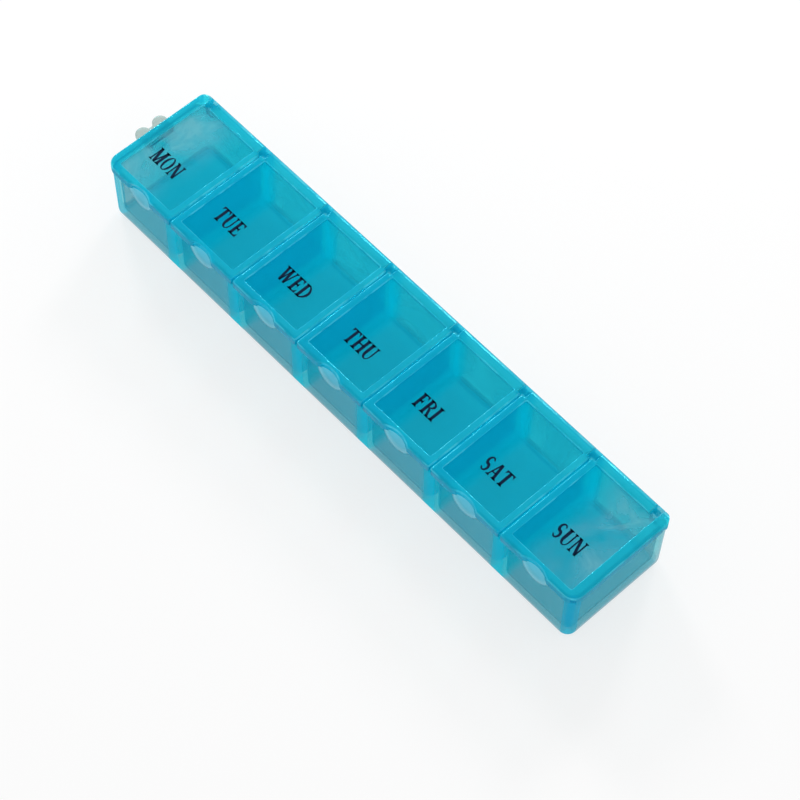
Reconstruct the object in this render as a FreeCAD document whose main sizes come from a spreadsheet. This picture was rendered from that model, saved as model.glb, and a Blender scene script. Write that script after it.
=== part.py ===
import FreeCAD, Part
import Sketcher
import math
import os

# Seven-day pill row: one tray with seven cells in a line and a flip lid on each.
# X runs along the row from Monday to Sunday, -Y is the front with the finger notches, +Y is the
# hinge side and Z is up. The origin is the middle of the tray's underside. Millimetres.

DAYS = ["mon", "tue", "wed", "thu", "fri", "sat", "sun"]

doc = FreeCAD.newDocument("pill_row")

# ---------------------------------------------------------------- driving dimensions

sizes = doc.addObject("Spreadsheet::Sheet", "sizes")
DIMENSIONS = [
    ("overall_length", 150.0, "row from end to end, over the lids"),
    ("overall_width", 30.0, "front to back, over the lids"),
    ("overall_height", 19.2, "table to the top of the lids"),
    ("corner_radius", 3.0, "plan radius of the four outer corners"),
    ("wall", 1.2, "tray's outer walls at the top"),
    ("divider", 1.2, "walls between the cells"),
    ("floor_thickness", 1.2, "tray's floor"),
    ("draft_angle", 0.7, "moulding draft of the tray's walls, degrees"),
    ("foot_radius", 2.2, "outside rounding along the tray's underside"),
    ("cell_corner_radius", 2.0, "plan radius of a cell's corners"),
    ("cell_floor_radius", 1.4, "rounding between a cell's walls and its floor"),
    ("lid_overhang", 0.3, "how far the lids stand out past the tray's walls"),
    ("lid_edge", 2.0, "height of a lid's visible edge, cap and lip together"),
    ("lid_plate", 1.5, "thickness of a lid's border"),
    ("lid_gap", 0.5, "gap between neighbouring lids"),
    ("lid_corner_radius", 0.5, "plan radius of a lid's corners beside its neighbour"),
    ("lip", 0.65, "thickness of the lip that reaches over the tray's rim"),
    ("lip_clearance", 0.15, "play between the lip and the rim inside it"),
    ("seat_clearance", 0.1, "play between a closed lid and the rim"),
    ("shoulder_clearance", 0.15, "play between the lip's end and the tray's shoulder"),
    ("panel_recess", 0.6, "depth of a lid's sunk panel"),
    ("panel_radius", 0.4, "plan radius of the panel's corners"),
    ("end_border", 2.7, "border beside the panel at the row's two ends"),
    ("side_border", 1.6, "border beside the panel along a neighbouring lid"),
    ("front_border", 2.1, "border in front of the panel"),
    ("back_border", 1.7, "border between the panel and the hinge line"),
    ("edge_round", 0.4, "rounding along a lid's top edge"),
    ("panel_round", 0.25, "rounding along the panel's top edge"),
    ("barrel_radius", 1.4, "hinge barrel along a lid's back edge, and the ears"),
    ("pin_radius", 0.6, "stub pins on the barrel's two ends"),
    ("pin_clearance", 0.05, "radial play of a pin in its bore"),
    ("pin_length", 0.75, "how far a stub pin stands out"),
    ("ear_width", 2.0, "hinge ears over the dividers"),
    ("end_ear_width", 1.8, "hinge ears near the row's two ends"),
    ("end_ear_inset", 3.7, "middle of an end ear from the row's end"),
    ("end_ear_skin", 0.4, "wall left outside a blind pin bore in an end ear"),
    ("ear_clearance", 0.25, "play between an ear and the barrel's end"),
    ("barrel_clearance", 0.3, "gap between the barrel and the tray under it"),
    ("ear_foot", 2.1, "height of an ear's root below the barrel"),
    ("notch_radius", 3.7, "half-round finger notch in the front wall"),
    ("notch_drop", 0.4, "centre of the notch below the rim"),
    ("scoop_width", 7.4, "thumb scoop in a lid's front edge"),
    ("scoop_depth", 1.2, "how far the scoop cuts into the edge"),
    ("clip_top", 15.2, "top face of the end clip above the table"),
    ("clip_thickness", 1.4, "thickness of the end clip's tab"),
    ("clip_reach", 4.9, "how far the clip stands out from the end wall"),
    ("clip_lobe_radius", 1.9, "radius of the clip's two round lobes"),
    ("clip_lobe_spacing", 5.0, "distance between the lobes' centres"),
    ("clip_web", 3.4, "reach of the web between the lobes"),
    ("clip_offset", 0.6, "middle of the clip behind the middle of the end wall"),
    ("clip_flange", 0.9, "thickness of the flange that seats on the end wall"),
    ("clip_flange_margin", 0.8, "how far the flange overlaps the slot all round"),
    ("clip_tongue_width", 6.4, "width of the tongue in the slot"),
    ("clip_round", 0.5, "rounding along the rim of the clip's lobes"),
    ("clip_barb", 0.9, "how far the tongue reaches past the end wall's inside"),
    ("clip_barb_height", 0.35, "how far the barb hangs below the tongue"),
    ("clip_barb_draft", 0.15, "room for the wall's draft in front of the barb"),
    ("clip_play", 0.05, "play of the tongue in the slot and of the flange on the wall"),
]
for row, (alias, number, meaning) in enumerate(DIMENSIONS, start=1):
    sizes.set(f"A{row}", str(number))
    sizes.setAlias(f"A{row}", alias)
    sizes.set(f"B{row}", meaning)
doc.recompute()


def size(alias):
    """The expression that reads one cell of the sheet."""
    return f"<<sizes>>.{alias}"


def value(expression):
    """The number that an expression over the sheet's cells gives."""
    result = sizes.evalExpression(expression)
    return float(getattr(result, "Value", result))


# ---------------------------------------------------------------- levels and lines worked out once

HALF_LENGTH = f"{size('overall_length')} / 2"
HALF_WIDTH = f"{size('overall_width')} / 2"
TRAY_HALF_LENGTH = f"({HALF_LENGTH} - {size('lid_overhang')})"
TRAY_HALF_WIDTH = f"({HALF_WIDTH} - {size('lid_overhang')})"
PITCH = f"((2 * {TRAY_HALF_LENGTH} - 2 * {size('wall')} + {size('divider')}) / {len(DAYS)})"
CELL_LENGTH = f"({PITCH} - {size('divider')})"

LID_TOP = size("overall_height")
LID_UNDERSIDE = f"({LID_TOP} - {size('lid_plate')})"
LIP_END = f"({LID_TOP} - {size('lid_edge')})"
RIM_TOP = f"({LID_UNDERSIDE} - {size('seat_clearance')})"
SHOULDER = f"({LIP_END} - {size('shoulder_clearance')})"

HINGE_Y = f"({HALF_WIDTH} - {size('barrel_radius')})"
HINGE_Z = f"({LID_TOP} - {size('barrel_radius')})"
EAR_FRONT = f"({HINGE_Y} - {size('barrel_radius')})"
SWEPT_FRONT = f"({EAR_FRONT} - {size('barrel_clearance')})"
BACK_WALL_TOP = f"({HINGE_Z} - {size('barrel_radius')} - {size('barrel_clearance')})"
BORE_RADIUS = f"({size('pin_radius')} + {size('pin_clearance')})"

END_EAR_X = f"({HALF_LENGTH} - {size('end_ear_inset')})"
RIM_INSET = f"({size('lip')} + {size('lip_clearance')})"
CLEAR = 2.0  # how far a cutting sketch runs past the solid that it cuts


# ---------------------------------------------------------------- sketch and feature helpers


def plane(body, role):
    """One of a body's own origin planes, such as XY_Plane."""
    for feature in body.Origin.OriginFeatures:
        if feature.Role == role:
            return feature
    raise ValueError(role)


def new_body(label):
    """An empty body with its own label, which names its file."""
    body = doc.addObject("PartDesign::Body", label)
    body.Label = label
    return body


def new_sketch(body, name, role, offset="0"):
    """A sketch on an origin plane, moved along the plane's normal by an expression."""
    sketch = body.newObject("Sketcher::SketchObject", f"{body.Name}_{name}")
    sketch.AttachmentSupport = [(plane(body, role), "")]
    sketch.MapMode = "FlatFace"
    sketch.setExpression("AttachmentOffset.Base.z", offset)
    return sketch


def bind(sketch, kind, *where, name, to):
    """One dimension of a sketch, bound to an expression."""
    index = sketch.addConstraint(Sketcher.Constraint(kind, *where, value(to)))
    sketch.renameConstraint(index, name)
    sketch.setExpression(f"Constraints.{name}", to)


POINT_NAMES = ("edge", "start", "end", "centre")  # the order in which Sketcher numbers them
START = POINT_NAMES.index("start")
END = POINT_NAMES.index("end")
CENTRE = POINT_NAMES.index("centre")


def from_origin(sketch, kind, geometry, point, name, to):
    """A point's distance from the sketch's own origin, which Sketcher numbers -1."""
    bind(sketch, kind, -1, START, geometry, point, name=name, to=to)


def place(sketch, geometry, point, name, x, y):
    """Binds a point's place in the sketch to two expressions."""
    from_origin(sketch, "DistanceX", geometry, point, f"{name}_x", x)
    from_origin(sketch, "DistanceY", geometry, point, f"{name}_y", y)


def polygon(sketch, corners, prefix="corner"):
    """A closed outline of straight lines whose corners are (x, y) expressions."""
    points = [FreeCAD.Vector(value(x), value(y), 0) for x, y in corners]
    first = sketch.GeometryCount
    for index, point in enumerate(points):
        sketch.addGeometry(Part.LineSegment(point, points[(index + 1) % len(points)]), False)
    for index in range(len(points)):
        following = first + (index + 1) % len(points)
        sketch.addConstraint(
            Sketcher.Constraint("Coincident", first + index, END, following, START)
        )
    for index, (x, y) in enumerate(corners):
        place(sketch, first + index, START, f"{prefix}{index}", x, y)


def rectangle(sketch, low_x, high_x, low_y, high_y, prefix="corner"):
    """A rectangle between four expressions."""
    corners = [(low_x, low_y), (high_x, low_y), (high_x, high_y), (low_x, high_y)]
    polygon(sketch, corners, prefix)


def circle(sketch, x, y, radius, name="circle"):
    """A circle whose centre and radius are expressions."""
    centre = FreeCAD.Vector(value(x), value(y), 0)
    index = sketch.addGeometry(
        Part.Circle(centre, FreeCAD.Vector(0, 0, 1), value(radius)), False
    )
    place(sketch, index, CENTRE, name, x, y)
    bind(sketch, "Radius", index, name=f"{name}_radius", to=radius)


def rounded_rectangle(sketch, low_x, high_x, low_y, high_y, radius):
    """A rectangle between four expressions with equal round corners."""
    x0, x1, y0, y1, r = (value(e) for e in (low_x, high_x, low_y, high_y, radius))
    up = FreeCAD.Vector(0, 0, 1)
    quarter = math.pi / 2
    corners = [
        (x1 - r, y1 - r, 0),
        (x0 + r, y1 - r, 1),
        (x0 + r, y0 + r, 2),
        (x1 - r, y0 + r, 3),
    ]
    arcs = [
        sketch.addGeometry(
            Part.ArcOfCircle(
                Part.Circle(FreeCAD.Vector(x, y, 0), up, r), k * quarter, (k + 1) * quarter
            ),
            False,
        )
        for x, y, k in corners
    ]
    ends = [
        ((x1 - r, y1), (x0 + r, y1)),
        ((x0, y1 - r), (x0, y0 + r)),
        ((x0 + r, y0), (x1 - r, y0)),
        ((x1, y0 + r), (x1, y1 - r)),
    ]
    lines = [
        sketch.addGeometry(
            Part.LineSegment(FreeCAD.Vector(*a, 0), FreeCAD.Vector(*b, 0)), False
        )
        for a, b in ends
    ]
    for k in range(4):
        after = arcs[(k + 1) % 4]
        sketch.addConstraint(Sketcher.Constraint("Tangent", arcs[k], END, lines[k], START))
        sketch.addConstraint(Sketcher.Constraint("Tangent", lines[k], END, after, START))
    for k, kind in enumerate(("Horizontal", "Vertical", "Horizontal", "Vertical")):
        sketch.addConstraint(Sketcher.Constraint(kind, lines[k]))
    for k in range(1, 4):
        sketch.addConstraint(Sketcher.Constraint("Equal", arcs[0], arcs[k]))
    bind(sketch, "Radius", arcs[0], name="corner_radius", to=radius)
    from_origin(sketch, "DistanceY", lines[0], START, "high_y", high_y)
    from_origin(sketch, "DistanceX", lines[1], START, "low_x", low_x)
    from_origin(sketch, "DistanceY", lines[2], START, "low_y", low_y)
    from_origin(sketch, "DistanceX", lines[3], START, "high_x", high_x)


def extrude(body, kind, sketch, name, length, taper=None, reverse=False, symmetric=False):
    """A Pad or a Pocket of a sketch, with its length bound to an expression."""
    feature = body.newObject(f"PartDesign::{kind}", f"{body.Name}_{name}")
    feature.Profile = sketch
    feature.setExpression("Length", length)
    feature.Reversed = reverse
    if symmetric:
        feature.SideType = "Symmetric"
    if taper:
        feature.setExpression("TaperAngle", taper)
    doc.recompute()
    return feature


def repeat(body, feature, name, copies, step):
    """Copies of a feature along X, one step apart."""
    pattern = body.newObject("PartDesign::LinearPattern", f"{body.Name}_{name}")
    pattern.Originals = [feature]
    pattern.Direction = (plane(body, "X_Axis"), [""])
    pattern.setExpression("Length", f"{copies - 1} * {step}")
    pattern.Occurrences = copies
    body.Tip = pattern
    doc.recompute()
    return pattern


def mirror(body, feature, name):
    """A copy of a feature on the other side of the row's middle."""
    mirrored = body.newObject("PartDesign::Mirrored", f"{body.Name}_{name}")
    mirrored.Originals = [feature]
    mirrored.MirrorPlane = (plane(body, "YZ_Plane"), [""])
    body.Tip = mirrored
    doc.recompute()
    return mirrored


def round_edges(body, feature, name, chosen, radius):
    """A fillet on the edges of a feature that a test picks."""
    edges = [
        f"Edge{index}"
        for index, edge in enumerate(feature.Shape.Edges, start=1)
        if chosen(edge)
    ]
    fillet = body.newObject("PartDesign::Fillet", f"{body.Name}_{name}")
    fillet.Base = (feature, edges)
    fillet.setExpression("Radius", radius)
    doc.recompute()
    return fillet


def at_level(edge, level):
    """True if an edge lies flat at this height."""
    box = edge.BoundBox
    return abs(box.ZMin - level) < 1e-4 and abs(box.ZMax - level) < 1e-4


# ---------------------------------------------------------------- tray


def tray_shell(body):
    """The outer block with draft, its round foot, the rim that the lids' lips go over."""
    sketch = new_sketch(body, "outline", "XY_Plane", SHOULDER)
    rounded_rectangle(
        sketch,
        f"-{TRAY_HALF_LENGTH}",
        TRAY_HALF_LENGTH,
        f"-{TRAY_HALF_WIDTH}",
        TRAY_HALF_WIDTH,
        f"{size('corner_radius')} - {size('lid_overhang')}",
    )
    block = extrude(
        body, "Pad", sketch, "block", SHOULDER, taper=f"-{size('draft_angle')}", reverse=True
    )
    round_edges(body, block, "foot", lambda e: at_level(e, 0), size("foot_radius"))
    sketch = new_sketch(body, "rim_outline", "XY_Plane", SHOULDER)
    rounded_rectangle(
        sketch,
        f"-({HALF_LENGTH} - {RIM_INSET})",
        f"{HALF_LENGTH} - {RIM_INSET}",
        f"-({HALF_WIDTH} - {RIM_INSET})",
        f"{HALF_WIDTH} - {RIM_INSET}",
        f"{size('corner_radius')} - {RIM_INSET}",
    )
    extrude(body, "Pad", sketch, "rim", f"{RIM_TOP} - {SHOULDER}")


def tray_cells(body):
    """Seven cells in a row, with drafted walls and a rounded floor."""
    first = f"-(({len(DAYS)} - 1) / 2 * {PITCH})"
    inside = f"({TRAY_HALF_WIDTH} - {size('wall')})"
    sketch = new_sketch(body, "cell_outline", "XY_Plane", RIM_TOP)
    rounded_rectangle(
        sketch,
        f"{first} - {CELL_LENGTH} / 2",
        f"{first} + {CELL_LENGTH} / 2",
        f"-{inside}",
        inside,
        size("cell_corner_radius"),
    )
    cell = extrude(
        body,
        "Pocket",
        sketch,
        "cell",
        f"{RIM_TOP} - {size('floor_thickness')}",
        taper=f"-{size('draft_angle')}",
    )
    cells = repeat(body, cell, "cells", len(DAYS), PITCH)
    bottom = value(size("floor_thickness"))
    round_edges(
        body, cells, "cell_floors", lambda e: at_level(e, bottom), size("cell_floor_radius")
    )


def tray_notches(body):
    """A half-round finger notch in the front wall of each cell."""
    first = f"-(({len(DAYS)} - 1) / 2 * {PITCH})"
    sketch = new_sketch(body, "notch_outline", "XZ_Plane", f"{TRAY_HALF_WIDTH} + {CLEAR}")
    circle(sketch, first, f"{RIM_TOP} - {size('notch_drop')}", size("notch_radius"))
    notch = extrude(body, "Pocket", sketch, "notch", f"{size('wall')} + 2 * {CLEAR}")
    repeat(body, notch, "notches", len(DAYS), PITCH)


def tray_hinge_line(body):
    """The back of the walls and dividers cut down so that the lids' barrels swing clear."""
    sketch = new_sketch(body, "hinge_line_outline", "YZ_Plane")
    rectangle(
        sketch,
        SWEPT_FRONT,
        f"{HALF_WIDTH} + {CLEAR}",
        BACK_WALL_TOP,
        f"{RIM_TOP} + {CLEAR}",
    )
    extrude(
        body,
        "Pocket",
        sketch,
        "hinge_line",
        f"{size('overall_length')} + {CLEAR}",
        symmetric=True,
    )


def ear_profile(sketch):
    """An ear seen from the end: a round top about the hinge axis on a chamfered root."""
    y, z, r = value(HINGE_Y), value(HINGE_Z), value(size("barrel_radius"))
    root = f"({HINGE_Z} - {size('barrel_radius')} - {size('ear_foot')})"
    back = HALF_WIDTH
    wall_inside = f"({TRAY_HALF_WIDTH} - {size('wall')})"
    wall_outside = f"({TRAY_HALF_WIDTH} - {size('wall')} / 2)"
    points = [
        (EAR_FRONT, HINGE_Z),
        (EAR_FRONT, f"{root} + ({wall_inside} - {EAR_FRONT})"),
        (wall_inside, root),
        (wall_outside, root),
        (back, f"{root} + ({back} - {wall_outside})"),
        (back, HINGE_Z),
    ]
    numbers = [FreeCAD.Vector(value(a), value(b), 0) for a, b in points]
    for start, end in zip(numbers, numbers[1:]):
        sketch.addGeometry(Part.LineSegment(start, end), False)
    round_top = sketch.addGeometry(
        Part.ArcOfCircle(
            Part.Circle(FreeCAD.Vector(y, z, 0), FreeCAD.Vector(0, 0, 1), r), 0, math.pi
        ),
        False,
    )
    last = len(points) - 2
    for index in range(last):
        sketch.addConstraint(Sketcher.Constraint("Coincident", index, END, index + 1, START))
    sketch.addConstraint(Sketcher.Constraint("Coincident", last, END, round_top, START))
    sketch.addConstraint(Sketcher.Constraint("Coincident", round_top, END, 0, START))
    for index, (a, b) in enumerate(points[:-1]):
        place(sketch, index, START, f"corner{index}", a, b)
    place(sketch, round_top, CENTRE, "hinge", HINGE_Y, HINGE_Z)
    from_origin(sketch, "DistanceY", last, END, "ear_side", HINGE_Z)


def tray_ears(body):
    """Hinge ears over the six dividers and near the two ends, bored for the stub pins."""
    first_divider = f"-(({len(DAYS)} / 2 - 1) * {PITCH})"
    sketch = new_sketch(body, "ear_outline", "YZ_Plane", first_divider)
    ear_profile(sketch)
    ear = extrude(body, "Pad", sketch, "ear", size("ear_width"), symmetric=True)
    repeat(body, ear, "ears", len(DAYS) - 1, PITCH)
    sketch = new_sketch(body, "end_ear_outline", "YZ_Plane", f"-{END_EAR_X}")
    ear_profile(sketch)
    end_ear = extrude(
        body, "Pad", sketch, "end_ear", size("end_ear_width"), symmetric=True
    )
    mirror(body, end_ear, "end_ears")
    sketch = new_sketch(body, "bore_outline", "YZ_Plane")
    circle(sketch, HINGE_Y, HINGE_Z, BORE_RADIUS)
    outer_face = f"({END_EAR_X} + {size('end_ear_width')} / 2 - {size('end_ear_skin')})"
    extrude(body, "Pocket", sketch, "bores", f"2 * {outer_face}", symmetric=True)


def tray_clip_slot(body):
    """A slot through the end wall beside the first cell for the clip's tongue."""
    sketch = new_sketch(body, "slot_outline", "YZ_Plane", f"-({HALF_LENGTH} + {CLEAR})")
    half = f"({size('clip_tongue_width')} / 2 + {size('clip_play')})"
    rectangle(
        sketch,
        f"{size('clip_offset')} - {half}",
        f"{size('clip_offset')} + {half}",
        f"{size('clip_top')} - {size('clip_thickness')} - {size('clip_play')}",
        f"{size('clip_top')} + {size('clip_play')}",
    )
    depth = f"{size('lid_overhang')} + {size('wall')} + 2 * {CLEAR}"
    extrude(body, "Pocket", sketch, "slot", depth, reverse=True)


def make_tray():
    """The tray, moulded in one piece with its hinge ears."""
    body = new_body("tray")
    tray_shell(body)
    tray_cells(body)
    tray_notches(body)
    tray_hinge_line(body)
    tray_ears(body)
    tray_clip_slot(body)
    return body


# ---------------------------------------------------------------- lids


def lid_cap(body, low, high):
    """A flat cap with a lip, cut out below for the rim of the tray."""
    sketch = new_sketch(body, "cap_outline", "XY_Plane", LIP_END)
    rectangle(sketch, low, high, f"-{HALF_WIDTH}", HINGE_Y)
    extrude(body, "Pad", sketch, "cap", size("lid_edge"))
    lip_height = f"{size('lid_edge')} - {size('lid_plate')}"
    sketch = new_sketch(body, "rim_space_outline", "XY_Plane", LIP_END)
    rounded_rectangle(
        sketch,
        f"-({HALF_LENGTH} - {size('lip')})",
        f"{HALF_LENGTH} - {size('lip')}",
        f"-({HALF_WIDTH} - {size('lip')})",
        f"{HALF_WIDTH} + {CLEAR}",
        f"{size('corner_radius')} - {size('lip')}",
    )
    extrude(body, "Pocket", sketch, "rim_space", lip_height, reverse=True)
    sketch = new_sketch(body, "lip_back_outline", "XY_Plane", LIP_END)
    rectangle(
        sketch,
        f"-({HALF_LENGTH} + {CLEAR})",
        f"{HALF_LENGTH} + {CLEAR}",
        f"{SWEPT_FRONT} - {size('lip')}",
        f"{HALF_WIDTH} + {CLEAR}",
    )
    return extrude(body, "Pocket", sketch, "lip_back", lip_height, reverse=True)


def round_front_corner(body, cap, name, x, radius):
    """Rounds one front corner of the cap in plan."""
    corner_x = value(x)
    corner_y = -value(HALF_WIDTH)

    def is_corner(edge):
        middle = edge.BoundBox.Center
        return abs(middle.x - corner_x) < 1e-4 and abs(middle.y - corner_y) < 1e-4

    return round_edges(body, cap, f"{name}_corner", is_corner, radius)


def round_back_corner(body, side):
    """Cuts an end lid's back corner, barrel and all, to the same plan radius."""
    edge = f"{side} * {HALF_LENGTH}"
    inner = f"{side} * ({HALF_LENGTH} - {size('corner_radius')})"
    inset = f"({HALF_WIDTH} - {size('corner_radius')})"
    corner = FreeCAD.Vector(value(edge), value(HALF_WIDTH), 0)
    at_side = FreeCAD.Vector(value(edge), value(inset), 0)
    at_back = FreeCAD.Vector(value(inner), value(HALF_WIDTH), 0)
    centre = FreeCAD.Vector(value(inner), value(inset), 0)
    quarter = math.pi / 2
    turned = 0 if side > 0 else quarter
    sketch = new_sketch(body, "back_corner_outline", "XY_Plane", LID_TOP)
    arc = sketch.addGeometry(
        Part.ArcOfCircle(
            Part.Circle(centre, FreeCAD.Vector(0, 0, 1), value(size("corner_radius"))),
            turned,
            turned + quarter,
        ),
        False,
    )
    along_side = sketch.addGeometry(Part.LineSegment(at_side, corner), False)
    along_back = sketch.addGeometry(Part.LineSegment(corner, at_back), False)
    side_end, back_end = (START, END) if side > 0 else (END, START)
    joined = Sketcher.Constraint("Coincident", along_side, END, along_back, START)
    sketch.addConstraint(joined)
    sketch.addConstraint(Sketcher.Constraint("Tangent", arc, side_end, along_side, START))
    sketch.addConstraint(Sketcher.Constraint("Tangent", along_back, END, arc, back_end))
    sketch.addConstraint(Sketcher.Constraint("Vertical", along_side))
    sketch.addConstraint(Sketcher.Constraint("Horizontal", along_back))
    place(sketch, along_back, START, "corner", edge, HALF_WIDTH)
    bind(sketch, "Radius", arc, name="corner_radius", to=size("corner_radius"))
    depth = f"2 * {size('barrel_radius')} + {CLEAR}"
    extrude(body, "Pocket", sketch, "back_corner", depth)


def lid_scoop(body, middle):
    """A shallow round scoop in the front edge for a thumb."""
    half = f"{size('scoop_width')} / 2"
    depth = size("scoop_depth")
    radius = f"((({half})^2 + {depth}^2) / (2 * {depth}))"
    sketch = new_sketch(body, "scoop_outline", "XY_Plane", LID_TOP)
    circle(sketch, middle, f"-{HALF_WIDTH} + {depth} - {radius}", radius)
    return extrude(body, "Pocket", sketch, "scoop", f"{size('lid_edge')} + {CLEAR}")


def soften_cap(body, cap):
    """Rounds the cap's top edge on every side but the hinge side."""
    top = value(LID_TOP)
    hinge = value(HINGE_Y)

    def is_outside(edge):
        return at_level(edge, top) and edge.BoundBox.YMin < hinge - 1e-4

    round_edges(body, cap, "soft_edge", is_outside, size("edge_round"))


def lid_barrel(body, low, high, gaps):
    """The hinge barrel along the back edge, with a gap for each ear beside the lid."""
    sketch = new_sketch(body, "barrel_outline", "YZ_Plane", low)
    circle(sketch, HINGE_Y, HINGE_Z, size("barrel_radius"))
    extrude(body, "Pad", sketch, "barrel", f"{high} - {low}")
    for name, start, stop in gaps:
        sketch = new_sketch(body, f"{name}_ear_outline", "XY_Plane", LID_TOP)
        rectangle(sketch, start, stop, SWEPT_FRONT, f"{HALF_WIDTH} + {CLEAR}")
        depth = f"2 * {size('barrel_radius')} + {CLEAR}"
        extrude(body, "Pocket", sketch, f"{name}_ear_gap", depth)


def lid_pins(body, low_end, high_end):
    """A stub pin on each end of the barrel, made as one bar through it."""
    start = f"({low_end} - {size('pin_length')})"
    stop = f"({high_end} + {size('pin_length')})"
    sketch = new_sketch(body, "pin_outline", "YZ_Plane", start)
    circle(sketch, HINGE_Y, HINGE_Z, size("pin_radius"))
    extrude(body, "Pad", sketch, "pins", f"{stop} - {start}")


def lid_panel(body, low, high):
    """The sunk panel that carries the day's name, with a softened rim."""
    front = f"(-{HALF_WIDTH} + {size('front_border')})"
    back = f"({HINGE_Y} - {size('back_border')})"
    sketch = new_sketch(body, "panel_outline", "XY_Plane", LID_TOP)
    rounded_rectangle(sketch, low, high, front, back, size("panel_radius"))
    panel = extrude(body, "Pocket", sketch, "panel", size("panel_recess"))
    top = value(LID_TOP)
    x0, x1, y0, y1 = (value(line) for line in (low, high, front, back))

    def is_rim(edge):
        box = edge.BoundBox
        inside_x = box.XMin > x0 - 1e-4 and box.XMax < x1 + 1e-4
        inside_y = box.YMin > y0 - 1e-4 and box.YMax < y1 + 1e-4
        return at_level(edge, top) and inside_x and inside_y

    round_edges(body, panel, "soft_panel", is_rim, size("panel_round"))


def make_lid(index):
    """One day's lid in its closed place."""
    body = new_body(f"lid_{DAYS[index]}")
    count = len(DAYS)
    low_divider = f"(({index} - {count} / 2) * {PITCH})"
    high_divider = f"(({index + 1} - {count} / 2) * {PITCH})"
    middle = f"(({index} - ({count} - 1) / 2) * {PITCH})"
    low = f"({low_divider} + {size('lid_gap')} / 2)"
    high = f"({high_divider} - {size('lid_gap')} / 2)"
    half_gap = f"({size('ear_width')} / 2 + {size('ear_clearance')})"
    low_gap = ("low", f"{low_divider} - {half_gap}", f"{low_divider} + {half_gap}")
    high_gap = ("high", f"{high_divider} - {half_gap}", f"{high_divider} + {half_gap}")
    low_border = high_border = size("side_border")
    low_radius = high_radius = size("lid_corner_radius")
    half_end_gap = f"({size('end_ear_width')} / 2 + {size('ear_clearance')})"
    end = 0
    if index == 0:
        end = -1
        low = f"(-{HALF_LENGTH})"
        low_gap = ("low", f"-{END_EAR_X} - {half_end_gap}", f"-{END_EAR_X} + {half_end_gap}")
        low_border = size("end_border")
        low_radius = size("corner_radius")
    if index == count - 1:
        end = 1
        high = f"({HALF_LENGTH})"
        high_gap = ("high", f"{END_EAR_X} - {half_end_gap}", f"{END_EAR_X} + {half_end_gap}")
        high_border = size("end_border")
        high_radius = size("corner_radius")

    cap = lid_cap(body, low, high)
    cap = round_front_corner(body, cap, "low", low, low_radius)
    round_front_corner(body, cap, "high", high, high_radius)
    soften_cap(body, lid_scoop(body, middle))
    lid_panel(body, f"{low} + {low_border}", f"{high} - {high_border}")
    lid_barrel(body, low, high, (low_gap, high_gap))
    if end:
        round_back_corner(body, end)
    lid_pins(body, low_gap[2], high_gap[1])
    return body


# ---------------------------------------------------------------- end clip


def make_end_clip():
    """A flat tab with two round lobes, a flange on the end wall and a barbed tongue."""
    body = new_body("end_clip")
    wall_face = f"(-{TRAY_HALF_LENGTH})"
    wall_inside = f"({wall_face} + {size('wall')})"
    centre = size("clip_offset")
    half = f"({size('clip_tongue_width')} / 2)"
    top = size("clip_top")
    bottom = f"({top} - {size('clip_thickness')})"
    margin = size("clip_flange_margin")

    # tab and tongue in one bar, then the lobes on its outer end
    sketch = new_sketch(body, "bar_outline", "XY_Plane", bottom)
    rectangle(
        sketch,
        f"{wall_face} - {size('clip_web')}",
        f"{wall_inside} + {size('clip_barb')}",
        f"{centre} - {half}",
        f"{centre} + {half}",
    )
    extrude(body, "Pad", sketch, "bar", size("clip_thickness"))
    lobe_x = f"({wall_face} - {size('clip_reach')} + {size('clip_lobe_radius')})"
    for side, sign in (("front", "-"), ("back", "+")):
        lobe_y = f"{centre} {sign} {size('clip_lobe_spacing')} / 2"
        sketch = new_sketch(body, f"{side}_lobe_outline", "XY_Plane", bottom)
        circle(sketch, lobe_x, lobe_y, size("clip_lobe_radius"))
        lobe = extrude(body, "Pad", sketch, f"{side}_lobe", size("clip_thickness"))
    levels = (value(bottom), value(top))
    flange_face = value(f"{wall_face} - {size('clip_flange')}")

    def is_rim(edge):
        return edge.BoundBox.XMin < flange_face and any(at_level(edge, z) for z in levels)

    round_edges(body, lobe, "soft_lobes", is_rim, size("clip_round"))

    # flange outside the wall, barb inside it
    sketch = new_sketch(body, "flange_outline", "YZ_Plane", f"{wall_face} - {size('clip_play')}")
    rounded_rectangle(
        sketch,
        f"{centre} - {half} - {margin}",
        f"{centre} + {half} + {margin}",
        f"{bottom} - {margin}",
        f"{top} + {margin}",
        margin,
    )
    extrude(body, "Pad", sketch, "flange", size("clip_flange"), reverse=True)
    sketch = new_sketch(body, "barb_outline", "XZ_Plane", f"-{centre}")
    barb_start = f"({wall_inside} + {size('clip_play')} + {size('clip_barb_draft')})"
    barb_end = f"({wall_inside} + {size('clip_barb')})"
    polygon(
        sketch,
        [
            (barb_start, f"{bottom} - {size('clip_barb_height')}"),
            (barb_end, f"{bottom} + {size('clip_thickness')} / 4"),
            (barb_end, f"{bottom} + {size('clip_thickness')} / 2"),
            (barb_start, f"{bottom} + {size('clip_thickness')} / 2"),
        ],
    )
    extrude(body, "Pad", sketch, "barb", size("clip_tongue_width"), symmetric=True)
    return body


# ---------------------------------------------------------------- build, check and export


def check(bodies):
    """Stops if any object failed, or if a body isn't one valid solid."""
    for item in doc.Objects:
        if "Invalid" in item.State or "Error" in item.State:
            raise RuntimeError(f"{item.Name} failed: {item.State}")
    for body in bodies:
        shape = body.Shape
        if shape.isNull() or not shape.isValid():
            raise RuntimeError(f"{body.Label} has no valid shape")
        if len(shape.Solids) != 1:
            raise RuntimeError(f"{body.Label} has {len(shape.Solids)} solids")


bodies = [make_tray()]
bodies += [make_lid(index) for index in range(len(DAYS))]
bodies.append(make_end_clip())
doc.recompute()
check(bodies)

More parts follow.
